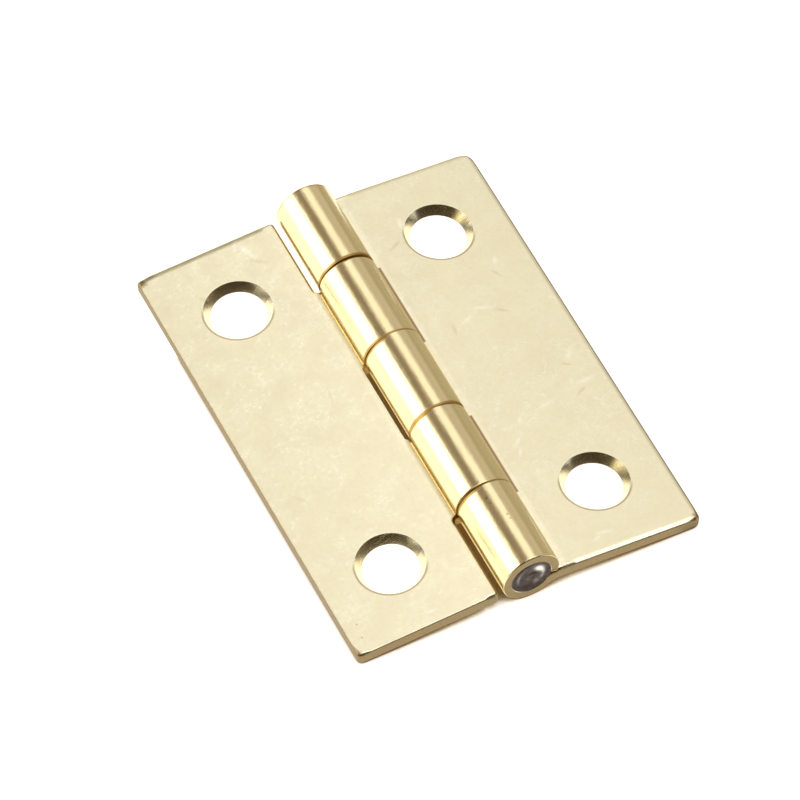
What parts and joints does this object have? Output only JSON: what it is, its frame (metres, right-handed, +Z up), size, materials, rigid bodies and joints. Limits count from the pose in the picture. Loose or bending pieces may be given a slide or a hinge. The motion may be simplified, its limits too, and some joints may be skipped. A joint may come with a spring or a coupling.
{
  "type": "mortise hinge",
  "caption": "Small butt hinge of rolled, brass-plated sheet steel with interleaved knuckles, a fixed pin and countersunk screw holes.",
  "frame": {"origin": "on the surface that the hinge lies on, under the middle of the pin", "axes": "+Y along the pin from the near end to the far end, +X towards the leaf with three knuckles, +Z up, out of the countersunk side"},
  "size_m": [0.028, 0.038, 0.0047],
  "materials": {
    "plated_sheet": "satin brass plating",
    "plated_sheet_two": "satin brass plating",
    "pin_steel": "bare cut steel"
  },
  "bodies": {
    "fixed_side": {"three_knuckle_leaf": "plated_sheet", "hinge_pin": "pin_steel"},
    "swinging_side": {"two_knuckle_leaf": "plated_sheet_two"}
  },
  "joints": [
    {"name": "hinge_swing", "type": "hinge", "parent": "fixed_side", "child": "swinging_side", "pos_m": [0, 0, 0.00235], "axis": [0, 1, 0], "range_deg": [-110, 190]}
  ]
}
